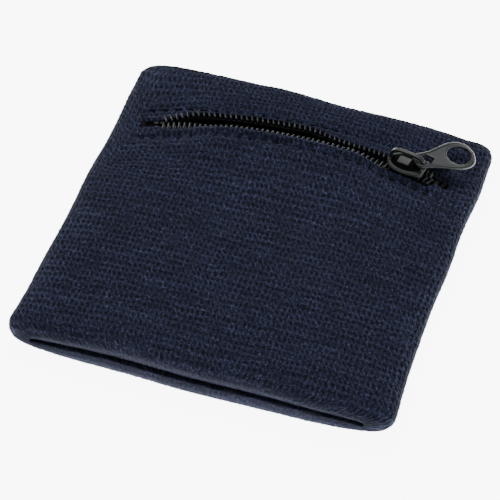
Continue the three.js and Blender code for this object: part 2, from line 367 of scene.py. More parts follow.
def coil_material():
    m, nt, nodes, b = new_material("black_nylon")
    L = nt.links.new
    tc = node(nt, "ShaderNodeTexCoord")
    n = node(nt, "ShaderNodeTexNoise", Scale=900.0, Detail=3.0)
    L(tc.outputs["Object"], n.inputs["Vector"])
    r = ramp(nt, [(0.3, (0.004, 0.0045, 0.006, 1)), (0.8, (0.010, 0.011, 0.014, 1))])
    L(n.outputs[0], r.inputs[0])
    L(r.outputs[0], b.inputs["Base Color"])
    rr = math_node(nt, "MULTIPLY_ADD", n.outputs[0], 0.2, 0.24)
    L(rr, b.inputs["Roughness"])
    b.inputs["Specular IOR Level"].default_value = 0.5
    return m


def cast_material(name="black_lacquered_zinc", low=(0.010, 0.0125, 0.0132, 1), high=(0.020, 0.024, 0.025, 1), edge_wear_and_highlight=0.16, metal=0.50, rough=0.31, dark=False):
    m, nt, nodes, b = new_material(name)
    L = nt.links.new
    tc = node(nt, "ShaderNodeTexCoord")
    fine = node(nt, "ShaderNodeTexNoise", Scale=2600.0, Detail=4.0, Roughness=0.6)
    L(tc.outputs["Object"], fine.inputs["Vector"])
    broad = node(nt, "ShaderNodeTexNoise", Scale=260.0, Detail=3.0)
    L(tc.outputs["Object"], broad.inputs["Vector"])
    geo = node(nt, "ShaderNodeNewGeometry")
    # edges lighter grey: partly rubbed-through lacquer, partly painted highlight where the rims catch the light
    edge = ramp(nt, [(0.50, (0, 0, 0, 1)), (0.60, (1, 1, 1, 1))])
    L(geo.outputs["Pointiness"], edge.inputs[0])
    base = ramp(nt, [(0.25, low), (0.75, high)])
    L(broad.outputs[0], base.inputs[0])
    colour = mix_rgb(nt, "MIX", math_node(nt, "MULTIPLY", edge.outputs[0], edge_wear_and_highlight), base.outputs[0], (0.075, 0.08, 0.076, 1))
    rg = math_node(nt, "MULTIPLY_ADD", fine.outputs[0], 0.18, rough)
    if dark:
        # painted shade: the mask turns the colour nearly black where the plate lies in shadow and mirrors dark
        # surroundings, and also makes it duller and less metallic
        well_shade = node(nt, "ShaderNodeAttribute")
        well_shade.attribute_name = "well_shade"
        colour = mix_rgb(nt, "MIX", well_shade.outputs["Fac"], colour, (0.0006, 0.0007, 0.0009, 1))
        rg = math_node(nt, "MULTIPLY_ADD", well_shade.outputs["Fac"], 0.35, rg)
        L(math_node(nt, "MULTIPLY_ADD", well_shade.outputs["Fac"], -0.4, 0.45), b.inputs["Specular IOR Level"])
        L(math_node(nt, "MULTIPLY_ADD", well_shade.outputs["Fac"], -metal, metal), b.inputs["Metallic"])
    else:
        b.inputs["Specular IOR Level"].default_value = 0.6 if metal > 0.3 else 0.4
        b.inputs["Metallic"].default_value = metal
    L(colour, b.inputs["Base Color"])
    L(rg, b.inputs["Roughness"])
    bump = node(nt, "ShaderNodeBump", Strength=0.25, Distance=0.00003)
    L(fine.outputs[0], bump.inputs["Height"])
    L(bump.outputs[0], b.inputs["Normal"])
    return m


def thread_material(name="navy_thread", light=(0.006, 0.007, 0.013, 1), dark=(0.002, 0.0024, 0.0045, 1)):
    m, nt, nodes, b = new_material(name)
    L = nt.links.new
    tc = node(nt, "ShaderNodeTexCoord")
    w = node(nt, "ShaderNodeTexWave", Scale=900.0, Distortion=1.2)
    w.bands_direction = "DIAGONAL"
    L(tc.outputs["Object"], w.inputs["Vector"])
    r = ramp(nt, [(0.0, dark), (1.0, light)])
    L(w.outputs["Fac"], r.inputs[0])
    L(r.outputs[0], b.inputs["Base Color"])
    b.inputs["Roughness"].default_value = 0.85
    b.inputs["Specular IOR Level"].default_value = 0.2
    bump = node(nt, "ShaderNodeBump", Strength=0.6, Distance=0.00006)
    L(w.outputs["Fac"], bump.inputs["Height"])
    L(bump.outputs[0], b.inputs["Normal"])
    return m


KNIT = knit_material()
TAPE = tape_material()
COIL = coil_material()
CAST = cast_material()
CAST_DARK = cast_material("black_lacquered_slider", (0.0045, 0.0055, 0.0062, 1), (0.010, 0.012, 0.013, 1), 0.4, 0.30, 0.30, True)
THREAD = thread_material()
STOP = cast_material("black_stop", (0.003, 0.0033, 0.004, 1), (0.005, 0.0055, 0.0065, 1), 0.1, 0.0, 0.5)
THREAD_TACK = thread_material("tack_thread", (0.0085, 0.0075, 0.0085, 1), (0.002, 0.002, 0.0025, 1))

# ------------------------------------------------------------------ the knitted tube
SECTION_N = 3.3
WALL = 3.1
EDGE = 1.4  # the rims bulge this far past the last straight row
LIP_FLOOR = 5.78


def knit_band():
    # cross-section: a flattened superellipse, walked from the bottom's middle over the right fold
    phi = np.linspace(-math.pi / 2, 1.5 * math.pi, 24001)
    c, s = np.cos(phi), np.sin(phi)
    cx = np.sign(c) * np.abs(c) ** (2 / SECTION_N)
    cz = np.sign(s) * np.abs(s) ** (2 / SECTION_N)
    seg = np.hypot(np.diff(cx * HALF_W), np.diff(cz * Z_MID))
    S = np.concatenate([[0], np.cumsum(seg)])
    P = S[-1]
    k = int(round(P / 1.087))
    pu = P / k
    m = int(round((P / 4 + 5.5) / pu))
    top_s = np.arange(-m * 4, m * 4) * (pu / 4)
    low_n = 3 * (k - 2 * m)
    low_s = m * pu + np.arange(low_n) * (pu / 3)
    u = np.concatenate([top_s, low_s])  # arc from the top's middle, towards -u = right
    # columns run from the right fold over the top to the left fold and back under
    pos = (P / 2 + u) % P
    X = np.interp(pos, S, cx)
    Z = np.interp(pos, S, cz)
    n = len(u)
    u_sym = np.where(u > P / 2, u - P, u)

    pv = 1.667
    outer = [-HALF_L + EDGE]
    while outer[-1] < HALF_L - EDGE - 1e-6:
        v = outer[-1]
        outer.append(v + (0.19 if 20.6 < v < 31.4 else pv / 5))
    outer = np.array(outer[:-1] + [HALF_L - EDGE])
    alphas = np.linspace(0, math.pi, 15)[1:-1]
    inner = np.linspace(HALF_L - EDGE, -HALF_L + EDGE, 62)
    rows = [("outer", v, 0.0) for v in outer] + [("far", HALF_L - EDGE, a) for a in alphas]
    rows += [("inner", v, math.pi) for v in inner] + [("near", -HALF_L + EDGE, math.pi - a) for a in alphas]
    M = len(rows)
    kind = np.array([r[0] for r in rows])
    v = np.array([r[1] for r in rows])[:, None] * np.ones((1, n))
    al = np.array([r[2] for r in rows])[:, None] * np.ones((1, n))
    rim = np.abs(np.sin(al)) ** 0.85
    # the inner half of each rim stays full, so that the two plies meet in a shallow crease
    rim = np.where((al > math.pi / 2) & (kind != "inner")[:, None], 1 - 0.5 * (1 - rim), rim)
    yv = v + np.sign(v) * EDGE * rim * (np.abs(v) > HALF_L - EDGE - 1e-3)
    # distance along the knit past the last straight row, for the pattern
    v_arc = np.sign(v) * (HALF_L - EDGE + al * 1.65)
    pat_v = np.where((kind == "outer")[:, None], v, np.where((kind == "inner")[:, None], -v * 1.0 + 0.4, v_arc))
    x = X[None, :] * HALF_W * np.ones((M, 1))
    zeta = Z[None, :] * np.ones((M, 1))
    pat_u = u[None, :] * np.ones((M, 1))

    # slow unevenness, so that no edge is ruled
    side_wave = 0.16 * np.sin(yv / 9.0 + 1.3) + 0.12 * np.sin(yv / 4.1 + 0.4) + 0.75 * np.abs(yv / 44) ** 2.2 - 0.10
    rim_wave = 0.28 * np.sin(x / 11.0 + 0.5) + 0.16 * np.sin(x / 4.7 + 2.0)

    inset = CORNER - np.sqrt(np.maximum(CORNER**2 - np.clip(np.abs(yv) - (HALF_L - CORNER), 0, CORNER) ** 2, 0))
    half_o = HALF_W - 0.35 - inset + side_wave * (1 - 0.5 * smooth((np.abs(yv) - 39) / 5))
    half_i = half_o - WALL
    shift = (zip_line(x) - ZIP_Y) * (1 - smooth((np.abs(x) - 34.0) / 5.6))
    fade = 1 - smooth((np.abs(v - ZIP_Y) - 7.5) / np.where(v > ZIP_Y, 9.5, 18.0))
    shift = shift * fade * (zeta > 0)

    D = np.clip((np.abs(yv) - 37.5) / 6.5, 0, 1)
    roll = 1 - np.sqrt(1 - 0.93 * D**2)
    near = smooth((-yv - 37.0) / 7.0)
    droop = near * (0.75 * smooth((x - 6.0) / 22.0) + 0.35 * smooth((-x - 33.0) / 5.0))
    crown = 0.35 * np.exp(-(((x + 2) / 24) ** 2)) * np.exp(-(((yv - 10) / 26) ** 2))
    crown = crown + 0.5 * (value_noise(x + 100, yv + 100, 17.0, 5) - 0.5) + 0.22 * (value_noise(x + 50, yv + 50, 7.0, 6) - 0.5)
    crown = crown * (1 - smooth((np.abs(x) - 30) / 9)) * (1 - 0.75 * np.exp(-(((v - ZIP_Y) / 5.0) ** 2)))
    up_h = Z_MID - 1.25 * roll + crown - droop * 0.8
    low_h = Z_MID - 0.75 * roll
    z_out = Z_MID + np.where(zeta > 0, zeta * up_h, zeta * low_h)
    mouth = smooth((np.abs(yv) - 36.0) / 6.0)
    gap = 0.75 - 0.58 * mouth - 0.05 * droop / 0.75 * near
    z_in = 3.85 + zeta * np.clip(gap, 0.12, 0.8)
    # at the near mouth the lower ply's edge stands a little prouder and the plies meet
    z_in = z_in + 0.35 * smooth((-yv - 38.0) / 5.0) * np.exp(-((x / 34.0) ** 6))
    right = 0.35 + 0.45 * np.exp(-(((yv - 27) / 9.0) ** 2)) + 0.55 * smooth((-yv - 20.0) / 18.0)
    half_o = half_o + right * (X[None, :] > 0) - 0.10 * (X[None, :] < 0)
    x_out = X[None, :] * half_o
    x_in = x_out - WALL * np.sign(X)[None, :] * smooth((np.abs(X)[None, :] - 0.62) / 0.38)
    cosa = np.sign(np.cos(al)) * np.abs(np.cos(al)) ** 0.85
    px = (x_out + x_in) / 2 + (x_out - x_in) / 2 * cosa
    pz = (z_out + z_in) / 2 + (z_out - z_in) / 2 * cosa
    py = yv + shift + np.sign(yv) * rim_wave * (np.abs(yv) / 44) ** 6 * 0.6
    # the far rim falls back a little towards the right, the near one comes forward
    py = py - (0.45 + 1.25 * smooth((x + 10) / 22.0) * smooth((41.0 - x) / 6.0)) * (np.maximum(yv, 0) / 44) ** 5
    front = (np.maximum(-yv, 0) / 44) ** 8
    py = py - 0.25 * np.exp(-(((x + 5) / 22) ** 2)) * front
    # the upper ply's rim lies back from the lower one's, most in the middle of the mouth
    back = (0.10 + 0.20 * np.exp(-(((x + 2) / 26) ** 4))) * smooth(zeta / 0.75)
    # the upper rim rolls back towards the crease instead of overhanging it
    under = 0.25 * smooth((al - 1.2) / 1.0) * smooth(zeta / 0.6) * (kind == "near")[:, None]
    py = py + (back + under - 0.05 * smooth(-zeta / 0.75)) * front
    # wales run straight over the rims even where the wall narrows towards a fold
    pat_u = pat_u - np.sign(zeta) * smooth(np.abs(zeta) / 0.6) * (px - x_out)
    relief = np.ones_like(px)

    # the slit: a groove of topstitching on each side, rolled lips, a wall down to the pocket's back
    top = (zeta > 0.35) & (kind == "outer")[:, None]
    dv = v - ZIP_Y
    side = np.where(dv >= 0, 1.0, -1.0)
    d = np.abs(dv)
    g = gape(x) / GAPE
    ends = 1 - smooth((x + 31.5) / 5.0)
    far_lip = np.maximum(0.85 + 2.85 * parted(x, 1) / GAPE, 1.0 + 1.85 * smooth((x - 18.0) / 4.0))
    near_lip = 1.25 + 0.6 * smooth((x + 24.0) / 9.0) + 1.0 * smooth((x - 12.0) / 8.0) - 0.6 * ends
    lip = np.where(side > 0, far_lip, near_lip)
    lip = lip + (0.75 - lip) * smooth((x - 29.2) / 1.7)
    sd = np.where(side > 0, STITCH_FAR, STITCH_NEAR)
    pz = pz + ride_up(x) * (side < 0) * (1 - smooth((d - 2.0) / 13.0)) * top
    inside = smooth((33.9 - np.abs(x)) / 0.8) * top
    along = smooth((34.3 - np.abs(x)) / 1.2) * top
    pinch = 0.75 + 0.45 * np.cos(2 * math.pi * (x + 32.4) / 2.6) + 0.5 * (value_noise(x + 90, yv * 0 + 7.0 + side * 3, 3.1, 51) - 0.5)
    pz = pz - np.where(side > 0, 0.50, 0.62) * np.clip(pinch, 0.25, 1.3) * np.exp(-(((d - sd) / 0.5) ** 2)) * along
    pz = pz - 0.30 * np.exp(-(((d - sd) / 1.6) ** 2)) * along
    lift = np.where(side > 0, 0.25, 0.30) * g + 0.05 + np.where(side > 0, 0.25, 0.75) * np.exp(-(((x - 25.0) / 4.5) ** 4))
    pz = pz + lift * np.exp(-(((d - (lip + sd) / 2 + 0.2) / 0.75) ** 2)) * along
    e = np.clip((lip + 0.75 - d) / 0.75, 0, 1)
    pz = pz - 0.42 * (1 - np.sqrt(1 - np.minimum(e, 1) ** 2 * 0.98)) * inside * (d >= lip)
    q = np.clip((lip - d) / lip, 0, 1)
    qw = 0.34
    tw = np.clip(q / qw, 0, 1)
    tf = np.clip((q - qw) / (1 - qw), 0, 1)
    z_lip = pz - 0.42 * 0.85 * (d < lip)
    z_trench = z_lip + (LIP_FLOOR - z_lip) * smooth(tw)
    d_trench = (lip + 0.5 * np.sin(tw * math.pi / 2)) * (1 - tf)
    hole = (d < lip) * inside
    pz = pz * (1 - hole) + z_trench * hole
    py = py + side * (d_trench - d) * hole
    relief = relief * (1 - hole * 0.85) * (1 - 0.45 * np.exp(-(((d - sd) / 0.5) ** 2)) * along)

    base = np.stack([px, py, pz], -1)
    di = np.roll(base, -1, 1) - np.roll(base, 1, 1)
    dj = np.roll(base, -1, 0) - np.roll(base, 1, 0)
    nor = np.cross(dj, di)
    nor /= np.maximum(np.linalg.norm(nor, axis=-1, keepdims=True), 1e-9)

    # knit relief: wales across, courses along, with the slanting dimples where they cross
    edge_k = smooth((np.abs(yv) - 38.0) / 4.5)
    edge_k = np.where((kind == "outer")[:, None], edge_k, 1.0)
    ju = 0.20 * (value_noise(pat_u + 300, pat_v + 300, 4.0, 21) - 0.5) * 2 + 0.16 * (value_noise(pat_u + 300, pat_v + 300, 1.3, 31) - 0.5) * 2
    jv = 0.24 * (value_noise(pat_u + 300, pat_v + 300, 4.5, 22) - 0.5) * 2 + 0.20 * (value_noise(pat_u + 300, pat_v + 300, 1.4, 32) - 0.5) * 2
    a = 2 * math.pi * (pat_u / pu + ju)
    b = 2 * math.pi * (pat_v / pv + jv)
    amp = 0.35 + 1.25 * value_noise(pat_u + 200, pat_v + 200, 1.3, 23)
    raw = (0.38 - 0.06 * edge_k) * np.cos(a) + (0.36 - 0.10 * edge_k) * np.cos(b) - (0.34 - 0.16 * edge_k) * np.cos(a - b)
    raw = raw * amp + 0.55 * (value_noise(pat_u + 400, (pat_v + 400) * 0.6, 0.5, 24) - 0.5)
    h = np.clip(0.5 + 0.55 * raw, 0, 1.15)
    depth = np.where((kind == "inner")[:, None], 0.10, 0.30)
    disp = -depth * (1.0 - np.minimum(h, 1.15)) * relief
    out = base + nor * disp[..., None]
    out[..., 2] = np.maximum(out[..., 2], 0.0)

    faces = grid_faces(n, M, True, True)
    o = make("knit_band", out.reshape(-1, 3), faces)
    me = o.data
    # yarn coordinates in mm, unbroken across each face
    loops = np.zeros(len(me.loops), np.int32)
    me.loops.foreach_get("vertex_index", loops)
    lu = pat_u.reshape(-1)[loops].reshape(-1, 4)
    lv = pat_v.reshape(-1)[loops].reshape(-1, 4)
    lu = np.where(lu.max(1, keepdims=True) - lu > P / 2, lu + P, lu)
    jump = lv.max(1, keepdims=True) - lv.min(1, keepdims=True) > 30
    lv = np.where(jump & (lv < 0), lv + 90.0, lv)
    layer = me.uv_layers.new(name="Yarn")
    layer.data.foreach_set("uv", np.stack([lu, lv], -1).astype(np.float32).ravel())
    # a clean map of the whole skin, for baking
    row_v = np.concatenate([[0], np.cumsum(np.linalg.norm(np.diff(base[:, n // 4], axis=0), axis=1))])
    bake_u = np.arange(n) / n
    bake_v = row_v / (row_v[-1] + 0.4)
    bu = np.tile(bake_u, (M, 1)).reshape(-1)[loops].reshape(-1, 4)
    bv = np.repeat(bake_v[:, None], n, 1).reshape(-1)[loops].reshape(-1, 4)
    bu = np.where(bu.max(1, keepdims=True) - bu > 0.5, bu + 1.0, bu)
    bv = np.where(bv.max(1, keepdims=True) - bv > 0.5, bv + 1.0, bv)
    bake = me.uv_layers.new(name="OFBake")
    bake.data.foreach_set("uv", (np.stack([bu, bv], -1) * 0.99).astype(np.float32).ravel())
    # painted shade: the knit is darkened in the dimples between its loops
    shade_mask = np.clip(1 - h, 0, 1)
    # painted shade down in the slit, where the pocket lies in shadow
    pocket_shade = hole * smooth((8.0 - pz) / 2.0)
    # painted shade round the rims, where the knit rolls under, stronger on the upper ply
    rim_shade = np.where(zeta > 0, 0.40 * smooth(al / 0.8) + 0.25 * smooth((al - 1.0) / 0.7), 0.34 * smooth(al / 0.9) + 0.08 * smooth((al - 1.6) / 0.8))
    # painted shade on the folds at both sides
    flank_shade = 0.26 * smooth((np.abs(X)[None, :] - 0.955) / 0.04)
    shade_mask = np.clip(shade_mask * (0.35 + 0.65 * relief) + 0.9 * pocket_shade + np.maximum(rim_shade, flank_shade), 0, 1)
    # the painted shade is stored per point for the knit's shader
    at = me.attributes.new("painted_shade", "FLOAT", "POINT")
    at.data.foreach_set("value", shade_mask.astype(np.float32).ravel())
    me.materials.append(KNIT)
    me.update()
    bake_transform(o)
    w = 1 - smooth((np.abs(u_sym) - 36.5) / 22.0)
    w = np.repeat(w[None, :], M, 0)
    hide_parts("outer_knit_upper", "outer_knit_lower", "inner_knit_upper", "inner_knit_lower", "left_fold", "right_fold")
    return o


knit_band()


# ------------------------------------------------------------------ swept tubes
def tube(points, radius, sides=8, closed=False, caps=True, squash_z=1.0):
    """Vertices and faces of a tube along points, mm. radius is one number or one per point."""
    p = np.asarray(points, float)
    n = len(p)
    r = np.full(n, float(radius)) if np.isscalar(radius) else np.asarray(radius, float)
    if closed:
        t = np.roll(p, -1, 0) - np.roll(p, 1, 0)
    else:
        t = np.gradient(p, axis=0)
    t /= np.maximum(np.linalg.norm(t, axis=1, keepdims=True), 1e-12)
    ref = np.array([0.0, 0.0, 1.0]) if abs(t[0][2]) < 0.9 else np.array([1.0, 0, 0])
    nrm = np.zeros_like(p)
    cur = ref - t[0] * (ref @ t[0])
    cur /= np.linalg.norm(cur)
    for i in range(n):
        cur = cur - t[i] * (cur @ t[i])
        cur /= max(np.linalg.norm(cur), 1e-12)
        nrm[i] = cur
    bin_ = np.cross(t, nrm)
    ang = np.arange(sides) * 2 * math.pi / sides
    ring = p[:, None, :] + r[:, None, None] * (np.cos(ang)[None, :, None] * nrm[:, None, :] + np.sin(ang)[None, :, None] * bin_[:, None, :])
    verts = ring.reshape(-1, 3)
    f = grid_faces(sides, n, True, closed)[:, ::-1].tolist()
    if not closed and caps:
        f.append(list(range(sides))[::-1])
        f.append([(n - 1) * sides + i for i in range(sides)])
    return verts, f


def join(parts):
    vs, fs, base = [], [], 0
    for v, f in parts:
        v = np.asarray(v, float)
        vs.append(v)
        fs += [[i + base for i in q] for q in (f.tolist() if hasattr(f, "tolist") else f)]
        base += len(v)
    return np.concatenate(vs), fs


def surface_drop(x):
    """How far the flattened tube's top falls towards the folds, mm."""
    t = np.clip(np.abs(np.asarray(x, float)) / (HALF_W - 0.35), 0, 0.999)
    return Z_MID * (1 - (1 - t**SECTION_N) ** (1 / SECTION_N))


# ------------------------------------------------------------------ coils and tapes
def coil(side, name, phase):
    x0, x1 = -29.6, 30.8
    turns = (x1 - x0) / COIL_PITCH
    per = 22
    th = np.linspace(0, turns * 2 * math.pi, int(turns * per)) + phase
    adv = th + 0.55 * np.sin(th * 1.0)
    x = x0 + COIL_PITCH * (adv - phase) / (2 * math.pi)
    cc = np.sign(np.cos(th)) * np.abs(np.cos(th)) ** 0.7
    ss = np.sign(np.sin(th)) * np.abs(np.sin(th)) ** 0.7
    off = parted(x, side)
    up = ride_coil(x) if side < 0 else 0.0
    tilt = 0.22 * gape(x) / GAPE  # parted coils tip up a little at the free edge
    y = side * (1.02 + off + 0.88 * cc)
    z = 7.93 - 0.8 * surface_drop(x) + 0.33 * ss - tilt * cc + up
    head = 1 + 0.38 * np.clip(-np.cos(th), 0, 1) ** 6
    v, f = tube(from_zip(np.stack([x, y, z], 1)), 0.235 * head, 8)
    o = make(name, v, f)
    o.data.materials.append(COIL)
    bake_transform(o)
    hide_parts("coil_near" if side < 0 else "coil_far")
    return o


coil(-1, "coil_near_helix", 0.0)
coil(1, "coil_far_helix", math.pi)


def tape(side, name):
    xs = np.linspace(-34.0, 34.0, 120)
    cols = np.array([0.0, 0.06, 0.3, 0.55, 0.8, 1.0])
    verts, wts = [], []
    sd = STITCH_FAR if side > 0 else STITCH_NEAR
    for x in xs:
        inner = 0.6 + float(parted(x, side))
        up = float(ride_coil(x)) if side < 0 else 0.0
        outer = 7.4
        drop = 0.8 * float(surface_drop(x))
        for layer in (0, 1):
            for t in (cols if layer == 0 else cols[::-1]):
                dd = inner + (outer - inner) * t
                rib = 0.015 * math.sin(x * 5.5)
                z = (7.16 if layer == 0 else 6.76) - drop + (rib if layer == 0 else -rib) + up * (1 - 0.12 * max(dd - inner, 0.0))
                verts.append([x, side * dd, z])
                g = float(parted(x, side))
                reach = sd - 1.95 - g
                wts.append(g / GAPE * float(smooth((sd - dd) / max(reach, 0.3))))
    n = len(cols) * 2
    f = grid_faces(n, len(xs), True, False).tolist()
    if side > 0:
        f = [q[::-1] for q in f]
    a, b = list(range(n)), [(len(xs) - 1) * n + i for i in range(n)]
    f += [a if side < 0 else a[::-1], b[::-1] if side < 0 else b]
    o = make(name, from_zip(np.array(verts)), f)
    bm = bmesh.new()
    bm.from_mesh(o.data)
    bmesh.ops.recalc_face_normals(bm, faces=bm.faces)
    bm.to_mesh(o.data)
    bm.free()
    o.data.materials.append(TAPE)
    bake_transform(o)
    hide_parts("zip_tape_near" if side < 0 else "zip_tape_far")


tape(-1, "tape_near_woven")
tape(1, "tape_far_woven")


# ------------------------------------------------------------------ castings: joined solids, fused and rounded
def cast(name, parts, voxel, rounds, material, factor=0.5):
    v, f = join(parts)
    o = make(name, v, f)
    bm = bmesh.new()
    bm.from_mesh(o.data)
    bmesh.ops.recalc_face_normals(bm, faces=bm.faces)
    bm.to_mesh(o.data)
    bm.free()
    r = o.modifiers.new("fuse", "REMESH")
    r.mode = "VOXEL"
    r.voxel_size = voxel * MM
    r.use_smooth_shade = True
    s = o.modifiers.new("round", "SMOOTH")
    s.factor = factor
    s.iterations = rounds
    deps = bpy.context.evaluated_depsgraph_get()
    me = bpy.data.meshes.new_from_object(o.evaluated_get(deps))
    o.modifiers.clear()
    o.data = me
    me.name = name
    me.polygons.foreach_set("use_smooth", [True] * len(me.polygons))
    me.materials.clear()
    me.materials.append(material)
    return o


def extrude(outline, z0, z1):
    """Prism over a plan outline, as vertices and faces."""
    p = np.asarray(outline, float)
    n = len(p)
    v = np.concatenate([np.c_[p, np.full(n, z0)], np.c_[p, np.full(n, z1)]])
    f = [[i, (i + 1) % n, n + (i + 1) % n, n + i] for i in range(n)]
    f += [list(range(n))[::-1], list(range(n, 2 * n))]
    return v, f


def ring_prism(outer, inner, z0, z1):
    """Prism between two closed outlines with the same number of points."""
    a, b = np.asarray(outer, float), np.asarray(inner, float)
    n = len(a)
    v = np.concatenate([np.c_[a, np.full(n, z0)], np.c_[b, np.full(n, z0)], np.c_[b, np.full(n, z1)], np.c_[a, np.full(n, z1)]])
    f = []
    for k in range(4):
        for i in range(n):
            j, l = (i + 1) % n, (k + 1) % 4
            f.append([k * n + i, k * n + j, l * n + j, l * n + i])
    return v, f


def catmull(pts, n, closed=False):
    p = np.asarray(pts, float)
    if closed:
        p = np.concatenate([p[-1:], p, p[:2]])
    else:
        p = np.concatenate([2 * p[:1] - p[1:2], p, 2 * p[-1:] - p[-2:-1]])
    out = []
    segs = len(p) - 3
    for i in range(segs):
        p0, p1, p2, p3 = p[i : i + 4]
        for t in np.linspace(0, 1, n, endpoint=False):
            out.append(0.5 * (2 * p1 + (p2 - p0) * t + (2 * p0 - 5 * p1 + 4 * p2 - p3) * t**2 + (3 * p1 - p0 - 3 * p2 + p3) * t**3))
    if not closed:
        out.append(p[-2])
    return np.array(out)


def shield(hl, hw):
    pts = [(hl, -0.72 * hw), (hl, 0.72 * hw), (hl - 0.45, 0.84 * hw), (hl * 0.25, hw), (-hl * 0.15, hw * 0.99)]
    for i in range(1, 20):
        a = math.pi / 2 + math.pi * i / 20
        pts.append((-hl * 0.2 + 0.8 * hl * math.cos(a), hw * 0.96 * math.sin(a)))
    pts += [(-hl * 0.15, -hw * 0.99), (hl * 0.25, -hw), (hl - 0.45, -0.84 * hw)]
    return pts


def slider():
    parts = []
    # top plate, its rim a little lower than its middle
    parts.append(extrude(shield(4.3, 3.2), 8.78, 9.24))
    parts.append(extrude(shield(4.05, 2.9), 8.9, 9.45))
    parts.append(extrude(shield(4.15, 2.85), 6.02, 6.5))
    parts.append(extrude([(-3.95, -0.62), (-1.85, -0.08), (-1.85, 0.08), (-3.95, 0.62)], 6.3, 9.0))
    for sd in (-1, 1):
        ys = sorted((sd * 2.25, sd * 2.68))
        parts.append(extrude([(-0.2, ys[0]), (4.0, ys[0]), (4.0, ys[1]), (-0.2, ys[1])], 7.55, 9.0))
    # bridge: a flat band bent over the plate, wider at its feet
    path = catmull([(-3.8, 9.0), (-3.76, 10.1), (-3.35, 11.4), (-2.1, 12.1), (-0.3, 12.2), (1.6, 12.1), (3.1, 11.75), (3.8, 10.9), (3.86, 10.0), (3.86, 9.0)], 7)
    n = len(path)
    t = np.gradient(path, axis=0)
    t /= np.linalg.norm(t, axis=1, keepdims=True)
    nn = np.stack([-t[:, 1], t[:, 0]], 1)
    s = np.linspace(0, 1, n)
    half = 0.44 + 0.2 * (np.abs(s - 0.5) * 2) ** 8
    thick = 0.31 + 0.05 * (np.abs(s - 0.5) * 2) ** 4
    verts = []
    for i in range(n):
        for a, b in ((1, 1), (1, -1), (-1, -1), (-1, 1)):
            q = path[i] + nn[i] * thick[i] * a
            verts.append([q[0], b * half[i], q[1]])
    f = grid_faces(4, n, True, False).tolist() + [[0, 1, 2, 3], [(n - 1) * 4 + i for i in (3, 2, 1, 0)]]
    parts.append((np.array(verts), f))
    # raised pad on the plate under the loop
    parts.append(extrude([(-2.0, -0.95), (-1.7, -1.2), (0.4, -1.2), (0.75, -0.95), (0.75, 0.95), (0.4, 1.2), (-1.7, 1.2), (-2.0, 0.95)], 9.2, 9.85))
    # small bosses under the feet
    for cu, ru in ((-3.5, 0.6), (3.6, 0.6)):
        a = np.linspace(0, 2 * math.pi, 20, endpoint=False)
        parts.append(extrude(np.stack([cu + ru * np.cos(a), 0.98 * np.sin(a)], 1), 9.2, 9.72))
    placed = []
    for v, f in parts:
        v = np.array(v, float)
        placed.append((from_slider(v), f))
    o = cast("slider_casting", placed, 0.085, 5, CAST_DARK)
    # painted shade: the hollow between the plate's rim and its pad is darkened nearly black and dulled, where it lies
    # in the bridge's shadow and mirrors dark surroundings
    co = np.zeros(len(o.data.vertices) * 3)
    o.data.vertices.foreach_get("co", co)
    co = co.reshape(-1, 3) / MM
    c0 = from_zip([SLIDER_X, 0.0, 0.0])
    ang = ZIP_TILT - SLIDER_X / ZIP_R
    du, dv = co[:, 0] - c0[0], co[:, 1] - c0[1]
    lu, lv = du * math.cos(ang) + dv * math.sin(ang), -du * math.sin(ang) + dv * math.cos(ang)
    inner = 1 - smooth((np.hypot(lu / 3.9, lv / 2.75) - 0.86) / 0.12)
    pad = (1 - smooth((np.abs(lu + 0.62) - 1.15) / 0.35)) * (1 - smooth((np.abs(lv) - 0.95) / 0.35))
    well_shade = inner * (1 - pad) * smooth((co[:, 2] - 9.0) / 0.2) * (1 - smooth((co[:, 2] - 9.75) / 0.25))
    o.data.attributes.new("well_shade", "FLOAT", "POINT").data.foreach_set("value", well_shade.astype(np.float32))
    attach(o, "zip_slider")
    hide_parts("slider_body")


